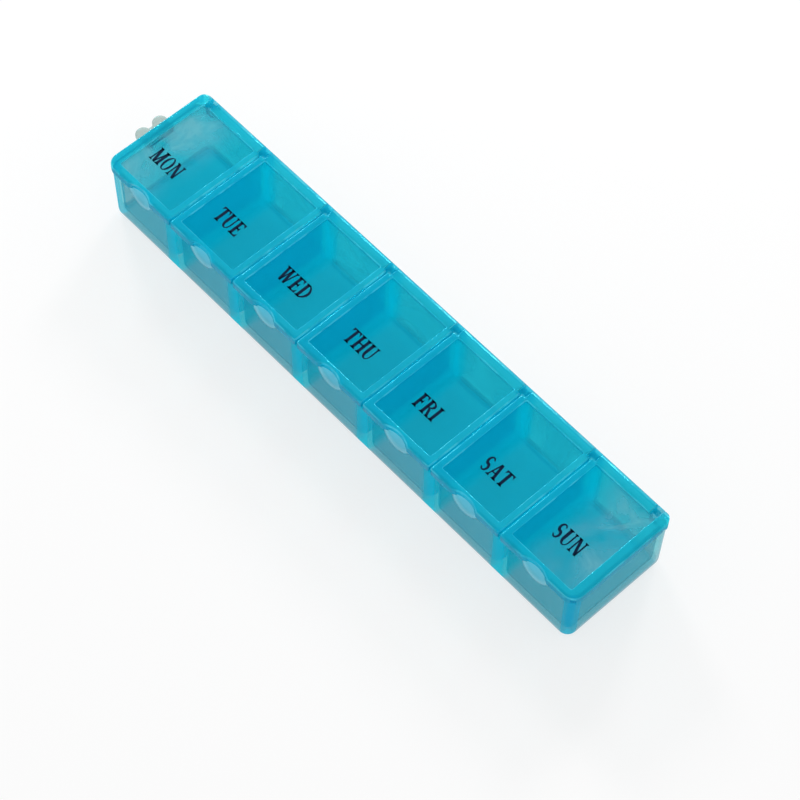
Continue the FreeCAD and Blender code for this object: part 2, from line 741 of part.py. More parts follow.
os.makedirs("parts", exist_ok=True)
for body in bodies:
    body.Shape.exportStep(f"parts/{body.Label}.step")
    box = body.Shape.BoundBox
    print(
        f"{body.Label}: {body.Shape.Volume:.1f} mm3,"
        f" X {box.XMin:.2f}..{box.XMax:.2f}, Y {box.YMin:.2f}..{box.YMax:.2f},"
        f" Z {box.ZMin:.2f}..{box.ZMax:.2f}"
    )
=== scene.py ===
# %% [markdown]
# # A seven-day pill row
#
# One long tray of tinted see-through plastic holds seven cells, and each cell has a flip lid
# that hinges on small ears along the back. A small uncoloured tab is pushed through one end.
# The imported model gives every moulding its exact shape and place. This notebook dresses those
# mouldings: it joins their facets into smooth surfaces, gives the plastic its colour and haze,
# closes the finger notches, prints the days on the lids, and sets up a plain pale studio.

import math

import bmesh
import bpy
import numpy as np
from mathutils import Matrix, Vector


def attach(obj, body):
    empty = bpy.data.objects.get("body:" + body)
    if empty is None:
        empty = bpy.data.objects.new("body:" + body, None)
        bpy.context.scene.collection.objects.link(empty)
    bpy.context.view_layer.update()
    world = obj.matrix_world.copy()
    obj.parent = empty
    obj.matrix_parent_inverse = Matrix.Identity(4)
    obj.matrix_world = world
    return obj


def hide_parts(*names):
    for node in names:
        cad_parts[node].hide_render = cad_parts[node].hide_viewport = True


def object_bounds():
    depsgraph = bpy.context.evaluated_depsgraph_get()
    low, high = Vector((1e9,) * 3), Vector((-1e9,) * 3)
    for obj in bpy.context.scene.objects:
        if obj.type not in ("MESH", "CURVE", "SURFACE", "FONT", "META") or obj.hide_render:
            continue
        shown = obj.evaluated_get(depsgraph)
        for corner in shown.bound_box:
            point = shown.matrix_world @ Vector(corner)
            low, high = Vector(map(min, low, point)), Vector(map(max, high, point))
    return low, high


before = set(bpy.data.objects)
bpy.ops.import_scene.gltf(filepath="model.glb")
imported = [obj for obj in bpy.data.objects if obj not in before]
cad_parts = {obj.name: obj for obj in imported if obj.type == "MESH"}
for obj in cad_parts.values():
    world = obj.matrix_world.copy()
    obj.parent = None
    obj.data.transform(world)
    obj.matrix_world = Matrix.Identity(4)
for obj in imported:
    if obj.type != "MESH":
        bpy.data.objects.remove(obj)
cad_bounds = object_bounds()
DAYS = ("mon", "tue", "wed", "thu", "fri", "sat", "sun")
LIDS = {day: f"lid_{day}" for day in DAYS}
MM = 0.001
print("nodes:", sorted(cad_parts))

# %% [markdown]
# ## Moulded surfaces
#
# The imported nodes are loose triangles. On a see-through moulding every facet edge would bend the
# light a little differently, so a copy of each node is merged and shaded smooth. Real mouldings
# have soft edges and flat faces, so a corner stays sharp only where two faces meet at more than
# `SHARP_ANGLE`, and weighted normals keep the large flat faces truly flat beside a small fillet.
# A subdivision surface would round the edges too, but it would also move them, and the packed
# sizes have to stay.

# %% smooth copies of the mouldings
SHARP_ANGLE = math.radians(35)
WELD = 0.002 * MM
SLIVER = 0.0005 * MM
BY_AREA_ALONE = 100


def put_in_scene(piece):
    """Links a new object into the scene, and hands it back."""
    bpy.context.scene.collection.objects.link(piece)
    return piece


def smooth_moulding(node, name):
    """A merged copy of a node's mesh. Formula: each corner's normal is the mean of its faces'
    normals, weighted by their areas, over the faces that no sharp edge parts from it."""
    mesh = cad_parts[node].data.copy()
    mesh.name = name
    work = bmesh.new()
    work.from_mesh(mesh)
    bmesh.ops.remove_doubles(work, verts=work.verts, dist=WELD)
    bmesh.ops.dissolve_degenerate(work, edges=work.edges, dist=SLIVER)
    work.to_mesh(mesh)
    work.free()
    mesh.shade_smooth()
    mesh.set_sharp_from_angle(angle=SHARP_ANGLE)
    mesh.materials.clear()
    piece = put_in_scene(bpy.data.objects.new(name, mesh))
    normals = piece.modifiers.new("flat faces stay flat", "WEIGHTED_NORMAL")
    normals.keep_sharp = True
    normals.weight = BY_AREA_ALONE
    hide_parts(node)
    print(name, len(mesh.vertices), "points", len(mesh.polygons), "faces")
    return piece


tray = smooth_moulding("tray", "tray_moulding")
lids = {day: smooth_moulding(node, f"{node}_moulding") for day, node in LIDS.items()}
clip = smooth_moulding("end_clip", "end_clip_moulding")

# %% [markdown]
# ## Nodes and ramps
#
# A material is a small machine of shader nodes. Three kinds of step come back all the time: a
# straight ramp from one value to another, a sum on two values, and soft random patches. Each gets
# a helper here, so that the recipes below read as what the plastic does. Everything is measured
# on Object coordinates, which are metres in the row's own frame, so a pattern stays on its
# piece when a lid opens. `lay_out` puts the nodes in columns, for whoever opens the node editor.

# %% nodes and links
def shader(owner, kind, name=""):
    """A new node in the tree of a material or of the world, named where it is needed again."""
    node = owner.node_tree.nodes.new(kind)
    node.name = name or node.name
    return node


def wire(owner, output, socket):
    """A link from one node's output to another node's socket."""
    owner.node_tree.links.new(output, socket)


def finish_with(owner, output, socket):
    """Sends a surface or a volume to the material's output node."""
    wire(owner, output, owner.node_tree.nodes["Material Output"].inputs[socket])


# %% ramps, sums and patches
def ramp(owner, value, low, high, at_low=0.0, at_high=1.0):
    """Formula: at_low up to low, at_high from high on, and a straight line between."""
    line = shader(owner, "ShaderNodeMapRange")
    line.inputs["From Min"].default_value = low
    line.inputs["From Max"].default_value = high
    line.inputs["To Min"].default_value = at_low
    line.inputs["To Max"].default_value = at_high
    wire(owner, value, line.inputs["Value"])
    return line.outputs["Result"]


def arithmetic(owner, operation, *values):
    """Formula: the operation on one or two values, each a plain number or a node's output."""
    node = shader(owner, "ShaderNodeMath")
    node.operation = operation
    for socket, value in zip(node.inputs, values):
        if isinstance(value, (int, float)):
            socket.default_value = value
        else:
            wire(owner, value, socket)
    return node.outputs[0]


def patches(material, scale, detail, distortion=0.0):
    """Soft random patches. Formula: noise, 0 to 1, of the Object coordinates times scale."""
    noise = shader(material, "ShaderNodeTexNoise")
    noise.inputs["Scale"].default_value = scale
    noise.inputs["Detail"].default_value = detail
    noise.inputs["Distortion"].default_value = distortion
    wire(material, material.node_tree.nodes["place"].outputs["Object"], noise.inputs["Vector"])
    return noise.outputs["Fac"]


# %% columns for the node editor
COLUMN_WIDTH = 220
ROW_HEIGHT = 260


def lay_out(owner):
    """Formula: a node stands one column to the left of the leftmost node that reads it, and
    each column is filled from the top down."""
    tree = owner.node_tree
    reads = [(link.from_node.name, link.to_node.name) for link in tree.links]
    column = dict.fromkeys(tree.nodes.keys(), 0)
    for _ in column:
        for source, reader in reads:
            column[source] = max(column[source], column[reader] + 1)
    filled = dict.fromkeys(column.values(), 0)
    for name, place in column.items():
        tree.nodes[name].location = (-COLUMN_WIDTH * place, -ROW_HEIGHT * filled[place])
        filled[place] += 1
    print(owner.name, len(column), "nodes in", len(filled), "columns")


print("nodes stand", COLUMN_WIDTH, "apart across and", ROW_HEIGHT, "down")

# %% [markdown]
# ## Tinted plastic
#
# The row is moulded in a clear resin with a blue-green dye and a trace of haze. A refracting
# glass shader could show that, but it tints every surface that the light crosses, and five thin
# walls in a row turn nearly black. So the light goes straight through here, which thin flat walls
# do anyway. Each surface passes most of it (`Transparent`, a little tinted) and covers the rest
# with a dyed skin: half glossy (`Principled`), half glowing from behind (`Translucent`). The cover
# grows where a surface is seen edge-on, so rims and corners turn deep and opaque, as they do on
# real haze-filled plastic. The resin leaves faint flow marks in the mould, which make the gloss
# uneven and ripple it a little. The volume inside takes out the red with depth.

# %% flow marks and dye
FLOW_SCALE = 90
FLOW_DETAIL = 3
FLOW_RELIEF = 0.04 * MM
FLOW_SPREAD = 0.2


def flow_marks(material, gloss, haze):
    """Formula: roughness = haze * (1 - spread to 1 + spread) by a slow noise, and the same
    noise, as hills FLOW_RELIEF high, bends the gloss."""
    flow = patches(material, FLOW_SCALE, FLOW_DETAIL)
    uneven = ramp(material, flow, 0.0, 1.0, haze * (1 - FLOW_SPREAD), haze * (1 + FLOW_SPREAD))
    wire(material, uneven, gloss.inputs["Roughness"])
    hills = shader(material, "ShaderNodeBump")
    hills.inputs["Strength"].default_value = 1.0
    hills.inputs["Distance"].default_value = FLOW_RELIEF
    wire(material, flow, hills.inputs["Height"])
    wire(material, hills.outputs["Normal"], gloss.inputs["Normal"])


def dye_depth(material, passed, density):
    """The dye inside. Formula: light falls by exp(-(1 - passed) * density * metres)."""
    depth = shader(material, "ShaderNodeVolumeAbsorption")
    depth.inputs["Color"].default_value = (*passed, 1)
    depth.inputs["Density"].default_value = density
    finish_with(material, depth.outputs["Volume"], "Volume")
    red_kept = math.exp(-(1 - passed[0]) * density * MM)
    print(material.name, "keeps", round(red_kept, 2), "of the red in each millimetre")


print("flow marks", FLOW_RELIEF / MM, "mm high, about", round(1 / FLOW_SCALE / MM), "mm wide")

# %% a dyed skin over clear plastic
TINTED_GLOSS = (0.05, 0.8, 1.0)
FACING_BLEND = 0.5
GLOW_SHARE = 0.5
EDGE_POWER = 3


def dyed_plastic(name, skin, through, cover, edge_cover, gloss_index=2.2, haze=0.08):
    """Formula: surface = (1 - c) * straight through + c * (gloss + glow) / 2, where the cover c
    goes from cover, seen square on, to edge_cover, seen along, as facing cubed."""
    material = bpy.data.materials.new(name)
    material.use_nodes = True
    shader(material, "ShaderNodeTexCoord", "place")
    gloss = material.node_tree.nodes["Principled BSDF"]
    gloss.name = "gloss"
    gloss.inputs["Base Color"].default_value = (*skin, 1)
    gloss.inputs["IOR"].default_value = gloss_index
    gloss.inputs["Specular Tint"].default_value = (*TINTED_GLOSS, 1)
    clear = shader(material, "ShaderNodeBsdfTransparent", "through")
    clear.inputs["Color"].default_value = (*through, 1)
    glow = shader(material, "ShaderNodeBsdfTranslucent", "glow")
    glow.inputs["Color"].default_value = (*skin, 1)
    facing = shader(material, "ShaderNodeLayerWeight")
    facing.inputs["Blend"].default_value = FACING_BLEND
    cubed = arithmetic(material, "POWER", facing.outputs["Facing"], EDGE_POWER)
    share = ramp(material, cubed, 0.0, 1.0, cover, edge_cover)
    share.node.name = "cover"
    halves = shader(material, "ShaderNodeMixShader")
    halves.inputs["Fac"].default_value = GLOW_SHARE
    wire(material, gloss.outputs[0], halves.inputs[1])
    wire(material, glow.outputs[0], halves.inputs[2])
    whole = shader(material, "ShaderNodeMixShader")
    wire(material, share, whole.inputs["Fac"])
    wire(material, clear.outputs[0], whole.inputs[1])
    wire(material, halves.outputs[0], whole.inputs[2])
    finish_with(material, whole.outputs[0], "Surface")
    flow_marks(material, gloss, haze)
    print(name, "covers", cover, "square on and", edge_cover, "seen along")
    return material


# %% [markdown]
# ### Zones of a moulding
#
# One colour doesn't do for a whole moulding. The dividers carry more dye in the line of sight
# than the outer walls, and the raised border of a lid is thicker than its sunken panel. Several
# zones are painted light as well: the dividers' painted glow, the floor's painted light from above,
# the painted patches of light on the back wall and the end lids, and painted highlights and sheen
# on the lids. Separate materials on separate faces would need cuts in the mesh, and their seams
# would show. A zone is a mask instead, 0 to 1, worked out from the place of a point, and it moves
# the skin, the light that goes through, and the cover towards the zone's own. A later zone lies
# over an earlier one.
# The Mix node keeps its sockets for numbers, vectors and colours in one list, so the three that
# carry a colour are picked from it by their place.

# %% masks by position
SHARP = 0.2 * MM


def above(material, value, level, fade):
    """Formula: 0 up to level, 1 from level + fade on, and a straight ramp between."""
    return ramp(material, value, level, level + fade)


def below(material, value, level, fade):
    """Formula: 1 up to level, 0 from level + fade on, and a straight ramp between."""
    return ramp(material, value, level + fade, level)


def both(material, mask, *others):
    """Where all the masks hold. Formula: their product."""
    for other in others:
        mask = arithmetic(material, "MULTIPLY", mask, other)
    return mask


def either(material, mask, other):
    """Where one mask or the other holds. Formula: the larger of the two."""
    return arithmetic(material, "MAXIMUM", mask, other)


def axes_of(material):
    """A point's place along, across and up, in metres, as three outputs."""
    split = shader(material, "ShaderNodeSeparateXYZ")
    wire(material, material.node_tree.nodes["place"].outputs["Object"], split.inputs[0])
    return tuple(split.outputs)


print("a sharp edge of a mask fades over", SHARP / MM, "mm")

# %% a zone's values, blended in
COLOUR_FROM, COLOUR_TO, COLOUR_OUT = 6, 7, 2


def blend_into(material, socket, mask, zone_value):
    """Formula: socket = (1 - mask) * what it had + mask * the zone's value. What it had is a
    plain value, or another zone's blend."""
    earlier = socket.links[0].from_socket if socket.is_linked else None
    if isinstance(zone_value, tuple):
        blend = shader(material, "ShaderNodeMix")
        blend.data_type = "RGBA"
        first, second = blend.inputs[COLOUR_FROM], blend.inputs[COLOUR_TO]
        result = blend.outputs[COLOUR_OUT]
        second.default_value = (*zone_value, 1)
        wire(material, mask, blend.inputs["Factor"])
    else:
        blend = shader(material, "ShaderNodeMapRange")
        first, second = blend.inputs["To Min"], blend.inputs["To Max"]
        result = blend.outputs["Result"]
        second.default_value = zone_value
        wire(material, mask, blend.inputs["Value"])
    if earlier:
        wire(material, earlier, first)
    else:
        first.default_value = socket.default_value
    wire(material, result, socket)


def zone(material, mask, skin, through, cover):
    """Blends a zone's skin, its light through and its cover into the plastic, by its mask."""
    nodes = material.node_tree.nodes
    blend_into(material, nodes["gloss"].inputs["Base Color"], mask, skin)
    blend_into(material, nodes["glow"].inputs["Color"], mask, skin)
    blend_into(material, nodes["through"].inputs["Color"], mask, through)
    blend_into(material, nodes["cover"].inputs["To Min"], mask, cover)


# %% [markdown]
# ### The tray's plastic
#
# The outer walls are the palest part of the row: a milky grey-blue against a white table. A
# quarter of each surface is covered, and the dye inside does the rest. The gloss index is low,
# because the bright room, mirrored in both faces of each thin wall, would lie over the colour like
# a grey film. The zones below measure from the middle of the tray, to both sides alike.

# %% tray plastic
TRAY_DYE = (0.2, 0.985, 1.0)
TRAY_DYE_DENSITY = 100

tray_plastic = dyed_plastic("tray_plastic", skin=(0.01, 0.40, 0.50), through=(0.98, 0.98, 0.985),
                            cover=0.25, edge_cover=0.50, gloss_index=1.15)
dye_depth(tray_plastic, TRAY_DYE, TRAY_DYE_DENSITY)
tray_x, tray_y, tray_z = axes_of(tray_plastic)
from_middle = arithmetic(tray_plastic, "ABSOLUTE", tray_x)
off_axis = arithmetic(tray_plastic, "ABSOLUTE", tray_y)

# %% [markdown]
# ### Dividers
#
# Light reaches a divider from the cells on both sides, and that glow is painted: the six dividers
# get the fullest blue of the tray as a painted glow. They stand one cell apart, so the length of
# the tray is folded to and fro, like a paper strip, into one ramp that is highest at each of them.
# It would be highest at the two end walls too, so a second ramp on the distance from the middle
# leaves those out, and a third leaves out the long walls.

# %% dividers
CELL_PITCH = 21.171 * MM
HALF_PITCH = CELL_PITCH / 2
DIVIDER_HALF = 0.7 * MM
CELL_CORNER = 2.0 * MM
LAST_DIVIDER = 2.5 * CELL_PITCH
INNER_Y = 13.4 * MM

folded = arithmetic(tray_plastic, "PINGPONG", tray_x, HALF_PITCH)
divider_face = HALF_PITCH - DIVIDER_HALF
on_divider = ramp(tray_plastic, folded, divider_face - CELL_CORNER, divider_face - CELL_CORNER / 3)
inside_ends = ramp(tray_plastic, from_middle, LAST_DIVIDER + CELL_PITCH / 2,
                   LAST_DIVIDER + CELL_PITCH / 3)
inside_walls = below(tray_plastic, off_axis, INNER_Y, SHARP)
# Painted glow: the dividers' brighter, fuller blue stands for the light that reaches them from the
# cells on both sides.
dividers = both(tray_plastic, on_divider, inside_ends, inside_walls)
zone(tray_plastic, dividers, skin=(0.0, 0.80, 0.98), through=(0.12, 0.98, 1.0), cover=0.45)
print("dividers at", np.round((np.arange(6) - 2.5) * CELL_PITCH / MM, 1).tolist(), "mm")

# %% [markdown]
# ### Floor and foot
#
# The floor of the cells lies flat under the open room and catches its light, and that light is
# painted on: the floor's zone gets a paler, brighter skin than any wall. The foot is the tray's
# lowest edge. There the eye looks through wall and floor at once, and where the rounding under
# the walls begins it looks along the plastic: a grey-blue line all round. So the floor's zone
# stops at the walls, and the foot has a second zone under them.

# %% floor and foot
FLOOR_TOP = 1.2 * MM
FLOOR_LIFT = 0.1 * MM
FLOOR_FADE = 0.5 * MM
FLOOR_ROUND = 1.4 * MM
FOOT_HEIGHT = 0.9 * MM
INNER_X = 73.4 * MM

between_ends = below(tray_plastic, from_middle, INNER_X, SHARP)
# Painted light: the floor's paler, brighter skin stands for the room's light falling on it from
# above.
floor_painted_light = both(
    tray_plastic,
    below(tray_plastic, tray_z, FLOOR_TOP + FLOOR_LIFT, FLOOR_FADE),
    both(tray_plastic, inside_walls, between_ends),
)
zone(tray_plastic, floor_painted_light, skin=(0.11, 0.86, 1.0), through=(0.92, 0.99, 1.0), cover=0.42)

foot = below(tray_plastic, tray_z, FOOT_HEIGHT / 2, FOOT_HEIGHT / 2)
zone(tray_plastic, foot, skin=(0.15, 0.47, 0.57), through=(0.95, 0.97, 0.98), cover=0.45)

near_walls = either(
    tray_plastic,
    above(tray_plastic, off_axis, INNER_Y - FLOOR_ROUND, FLOOR_ROUND / 2),
    above(tray_plastic, from_middle, INNER_X - FLOOR_ROUND, FLOOR_ROUND / 2),
)
under_walls = both(tray_plastic, foot, near_walls)
zone(tray_plastic, under_walls, skin=(0.08, 0.46, 0.56), through=(0.9, 0.97, 0.98), cover=0.66)
print("floor", FLOOR_TOP / MM, "mm thick, foot", FOOT_HEIGHT / MM, "mm high")

# %% [markdown]
# ### Painted light on the back wall, corners, junctions and ears
#
# Four smaller things break up the walls. The back wall is clouded in soft pale streaks of painted
# light, which stand for the uneven light that the plastic bends into the back of the cells. The
# two upright front corners are thick and rounded, and look through a long way of dye. Each divider
# runs into the outer wall and into the foot, and its painted glow is carried there as a band seen
# from outside. And the hinge ears stand up among the lids, and are painted in their deeper blue,
# which hides the white glints that show through the gaps at the hinge.

# %% painted light on the back wall
BACK_INNER = 13.2 * MM
BACK_FADE = 0.5 * MM
BACK_LIGHT_SCALE = 80
BACK_LIGHT_DETAIL = 1
BACK_LIGHT_SWIRL = 0.3
BACK_LIGHT_FROM, BACK_LIGHT_TO = 0.42, 0.60

# Painted light: pale grey patches on the back wall, for the uneven light that the plastic bends into
# the back of the cells.
back_light_noise = patches(tray_plastic, BACK_LIGHT_SCALE, BACK_LIGHT_DETAIL, BACK_LIGHT_SWIRL)
back_wall_painted_light = both(
    tray_plastic,
    ramp(tray_plastic, back_light_noise, BACK_LIGHT_FROM, BACK_LIGHT_TO),
    above(tray_plastic, tray_y, BACK_INNER - BACK_FADE, BACK_FADE),
)
zone(tray_plastic, back_wall_painted_light, skin=(0.48, 0.66, 0.70), through=(0.96, 0.98, 0.985), cover=0.55)
print("streaks about", round(1 / BACK_LIGHT_SCALE / MM, 1), "mm wide")

# %% front corners
CORNER_X = 72.0 * MM
CORNER_Y = 11.8 * MM
CORNER_FADE = 0.4 * MM

to_front = arithmetic(tray_plastic, "MULTIPLY", tray_y, -1.0)
front_corners = both(
    tray_plastic,
    above(tray_plastic, from_middle, CORNER_X, CORNER_FADE),
    above(tray_plastic, to_front, CORNER_Y, CORNER_FADE),
)
zone(tray_plastic, front_corners, skin=(0.0, 0.48, 0.72), through=(0.5, 0.96, 1.0), cover=0.45)
print("front corners beyond", CORNER_X / MM, "mm along and", CORNER_Y / MM, "mm across")

# %% junctions at the dividers
JUNCTION_HALF = 2.6 * MM

at_divider = above(tray_plastic, folded, HALF_PITCH - JUNCTION_HALF, JUNCTION_HALF / 2)
outer_wall = arithmetic(tray_plastic, "SUBTRACT", 1.0, inside_walls)
wall_or_foot = either(tray_plastic, foot, outer_wall)
# Painted glow: the dividers' saturated blue is painted onto the outer wall and the foot where the
# dividers meet them.
junctions = both(tray_plastic, at_divider, wall_or_foot, inside_ends)
zone(tray_plastic, junctions, skin=(0.0, 0.56, 0.74), through=(0.3, 0.97, 1.0), cover=0.45)
print("junctions", 2 * JUNCTION_HALF / MM, "mm wide")

# %% hinge ears
EAR_FOOT = 17.7 * MM

# Painted over: the ears' deeper, denser blue hides the white glints that show through the gaps at
# the hinge.
ears = above(tray_plastic, tray_z, EAR_FOOT, SHARP)
zone(tray_plastic, ears, skin=(0.01, 0.60, 0.80), through=(0.5, 0.94, 0.965), cover=0.60)
lay_out(tray_plastic)

# %% [markdown]
# ### The lids' plastic
#
# The lids are a deeper blue than the tray, because their dye is denser. The five between the ends
# are one moulding five times over, and the two end ones only reach a little further, so one
# material serves all seven, and its zones tell panel, border, edges and skirts apart by where
# they lie. Over the panels of the two end lids lies a pale grey cloud of painted light, which
# stands for the white room's light coming in through the end walls. A swirled noise breaks it
# into uneven patches.

# %% lid plastic
LID_DYE = (0.1, 0.98, 1.0)
LID_DYE_DENSITY = 150

lid_plastic = dyed_plastic("lid_plastic", skin=(0.003, 0.42, 0.66), through=(0.24, 0.94, 0.965),
                           cover=0.20, edge_cover=0.50)
dye_depth(lid_plastic, LID_DYE, LID_DYE_DENSITY)
lid_x, lid_y, lid_z = axes_of(lid_plastic)
beyond_x = arithmetic(lid_plastic, "ABSOLUTE", lid_x)
beyond_y = arithmetic(lid_plastic, "ABSOLUTE", lid_y)

# %% painted light on the end lids
PANEL_FLOOR = 18.6 * MM
PANEL_FROM = PANEL_FLOOR - 0.2 * MM
PANEL_FADE = 0.1 * MM
END_LIDS = 58.0 * MM
END_LIDS_FADE = 10 * MM
END_LIGHT_SCALE = 110
END_LIGHT_DETAIL = 4
END_LIGHT_SWIRL = 0.8
END_LIGHT_FROM, END_LIGHT_TO = 0.30, 0.62

# Painted light: a pale grey cloud over the two end lids' panels, for the white room's light that
# comes in through the end walls.
end_light_noise = patches(lid_plastic, END_LIGHT_SCALE, END_LIGHT_DETAIL, END_LIGHT_SWIRL)
end_lid_painted_light = both(
    lid_plastic,
    ramp(lid_plastic, end_light_noise, END_LIGHT_FROM, END_LIGHT_TO),
    above(lid_plastic, beyond_x, END_LIDS, END_LIDS_FADE),
    above(lid_plastic, lid_z, PANEL_FROM, PANEL_FADE),
)
zone(lid_plastic, end_lid_painted_light, skin=(0.42, 0.62, 0.69), through=(0.6, 0.95, 0.97), cover=0.50)
print("scuffs from", END_LIDS / MM, "mm off the middle")

# %% [markdown]
# ### Border, painted edge highlights and skirts
#
# Each lid has a sunken panel inside a raised border, and the border, being thicker, looks denser;
# its lighter skin is a painted sheen, for the room mirrored in its flat top. Its mask is the
# height: every point well above the panel's floor belongs to it. Between the panel and the flat
# top of the border lie the soft edges, and they carry painted highlights, pale lines where the
# lamps would glint, brighter in one place than in the next. The skirts round the row turn down
# over the tray, and there the eye looks along the plastic, so they are the deepest blue of all.

# %% raised border
BORDER_FROM = PANEL_FLOOR + 0.25 * MM
BORDER_FADE = 0.15 * MM

# Painted sheen: besides being thicker, the border gets a lighter skin that stands for the room
# mirrored in its flat top.
border = above(lid_plastic, lid_z, BORDER_FROM, BORDER_FADE)
zone(lid_plastic, border, skin=(0.02, 0.70, 0.90), through=(0.32, 0.94, 0.965), cover=0.44)
print("border from", round(BORDER_FROM / MM, 2), "mm up")

# %% painted highlights on the edges
LID_TOP = 19.2 * MM
EDGE_FROM = PANEL_FLOOR + 0.05 * MM
EDGE_FROM_FADE = 0.07 * MM
EDGE_TO = LID_TOP - 0.05 * MM
EDGE_TO_FADE = 0.04 * MM
HIGHLIGHT_SCALE = 160
HIGHLIGHT_DETAIL = 2
HIGHLIGHT_FROM, HIGHLIGHT_TO = 0.42, 0.58
LEAST_HIGHLIGHT = 0.3

# Painted highlights: pale lines on the soft edges between panel and border, where the lamps would
# glint, made uneven by a noise.
edge_band = both(
    lid_plastic,
    above(lid_plastic, lid_z, EDGE_FROM, EDGE_FROM_FADE),
    below(lid_plastic, lid_z, EDGE_TO, EDGE_TO_FADE),
)
highlight_noise = patches(lid_plastic, HIGHLIGHT_SCALE, HIGHLIGHT_DETAIL)
highlight_strength = either(lid_plastic, ramp(lid_plastic, highlight_noise, HIGHLIGHT_FROM, HIGHLIGHT_TO), LEAST_HIGHLIGHT)
edge_painted_highlights = both(lid_plastic, edge_band, highlight_strength)
zone(lid_plastic, edge_painted_highlights, skin=(0.17, 0.86, 0.98), through=(0.6, 0.97, 1.0), cover=0.66)
print("edges from", round(EDGE_FROM / MM, 2), "to", round(EDGE_TO / MM, 2), "mm up")

# %% skirts
SKIRT_Y = 14.4 * MM
SKIRT_X = 74.4 * MM
SKIRT_TOP = LID_TOP - 0.4 * MM

rim = either(
    lid_plastic,
    above(lid_plastic, beyond_y, SKIRT_Y, SHARP),
    above(lid_plastic, beyond_x, SKIRT_X, SHARP),
)
skirts = both(lid_plastic, rim, below(lid_plastic, lid_z, SKIRT_TOP, SHARP))
zone(lid_plastic, skirts, skin=(0.01, 0.41, 0.58), through=(0.2, 0.90, 0.96), cover=0.72)
lay_out(lid_plastic)

# %% [markdown]
# ### The clip's plastic
#
# The tab at the end is moulded in the bare resin, with no dye: milky, and a little green-grey
# where it is thick. It is rougher than the row, because its small mould wasn't polished. The
# tongue that goes through the wall lies between blue walls and hardly shows.

# %% clip plastic
CLIP_DYE = (0.9, 0.95, 0.92)
CLIP_DYE_DENSITY = 100
WALL_FACE = -74.9 * MM
TONGUE_FADE = 0.3 * MM

clip_plastic = dyed_plastic("clip_plastic", skin=(0.47, 0.56, 0.52), through=(0.93, 0.97, 0.95),
                            cover=0.42, edge_cover=0.80, haze=0.2)
dye_depth(clip_plastic, CLIP_DYE, CLIP_DYE_DENSITY)
clip_x, _, _ = axes_of(clip_plastic)
tongue = above(clip_plastic, clip_x, WALL_FACE, TONGUE_FADE)
zone(clip_plastic, tongue, skin=(0.1, 0.70, 0.85), through=(1.0, 1.0, 1.0), cover=0.02)
lay_out(clip_plastic)

# %% [markdown]
# ## Dressing the mouldings
#
# Each moulding takes its plastic and says what it rides on. The tray and the clip stand still
# together. Each lid rides on its own body, so it swings about its own hinge.

# %% dress the mouldings
tray.data.materials.append(tray_plastic)
clip.data.materials.append(clip_plastic)
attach(tray, "tray")
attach(clip, "tray")
for day, lid in lids.items():
    lid.data.materials.append(lid_plastic)
    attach(lid, LIDS[day])
print("dressed", 2 + len(lids), "mouldings")

# %% [markdown]
# ## Finger dishes
#
# Under the front edge of every lid the wall has a half-round notch, and a thin dish closes it, so
# that a fingertip fits under the lid and no pill falls out. The dish could be carved from a
# sphere, but only its lower half is there, and its rim has to follow the notch. So it is a
# surface in two numbers: how far out from the middle, and at which angle. The hollow goes with
# the square of the first, like a watch glass, and `Solidify` gives it its thickness. Its pale skin
# is painted light, for a hollow that faces up into the room. The reach is kept on each point as
# an attribute, because the rim of the dish gets a paler painted highlight.

# %% dish surface
DISH_HALF = 3.75 * MM
DISH_DROP = 3.55 * MM
DISH_TOP = 17.0 * MM
DISH_FACE = -14.6 * MM
DISH_HOLLOW = 1.9 * MM
DISH_RINGS = 14
DISH_SPOKES = 32


def finger_dish(middle):
    """Formula: from the middle out by reach r and round by angle a, x = middle + half * r cos a,
    z = top - drop * r sin a, and y = face + hollow * (1 - r squared)."""
    reach, angle = np.meshgrid(
        np.linspace(0, 1, DISH_RINGS + 1)[1:], np.linspace(0, np.pi, DISH_SPOKES + 1), indexing="ij"
    )
    x = middle + DISH_HALF * reach * np.cos(angle)
    y = DISH_FACE + DISH_HOLLOW * (1 - reach**2)
    z = DISH_TOP - DISH_DROP * reach * np.sin(angle)
    rings = np.stack([x, y, z], axis=-1).reshape(-1, 3)
    points = np.vstack([[(middle, DISH_FACE + DISH_HOLLOW, DISH_TOP)], rings])
    row = DISH_SPOKES + 1
    i, j = np.meshgrid(np.arange(DISH_RINGS - 1), np.arange(DISH_SPOKES), indexing="ij")
    first = (1 + i * row + j).ravel()
    quads = np.column_stack([first, first + 1, first + row + 1, first + row])
    fan = np.arange(DISH_SPOKES)
    middle_fan = np.column_stack([np.zeros_like(fan), fan + 2, fan + 1])
    return points, middle_fan.tolist() + quads.tolist(), np.append(0, reach.ravel())


print("a dish is", 2 * DISH_HALF / MM, "by", DISH_DROP / MM, "by", DISH_HOLLOW / MM, "mm")

# %% dish plastic
DISH_HIGHLIGHT_FROM, DISH_HIGHLIGHT_TO = 0.80, 0.93

# Painted light: the dish's pale skin stands for the room's light caught by its upturned hollow.
dish_plastic = dyed_plastic("dish_plastic", skin=(0.40, 0.84, 0.94), through=(0.8, 0.97, 1.0),
                            cover=0.62, edge_cover=0.85)
dye_depth(dish_plastic, TRAY_DYE, TRAY_DYE_DENSITY)
reach_read = shader(dish_plastic, "ShaderNodeAttribute")
reach_read.attribute_name = "reach"
# Painted highlight: the outer rim of each dish is paler still.
dish_rim_painted_highlight = ramp(dish_plastic, reach_read.outputs["Fac"], DISH_HIGHLIGHT_FROM, DISH_HIGHLIGHT_TO)
zone(dish_plastic, dish_rim_painted_highlight, skin=(0.62, 0.93, 0.99), through=(0.8, 0.97, 1.0), cover=0.85)
lay_out(dish_plastic)

# %% one dish in each notch
CELL_MIDDLES = (np.arange(7) - 3) * CELL_PITCH
DISH_WALL = 0.5 * MM
INWARDS = -1

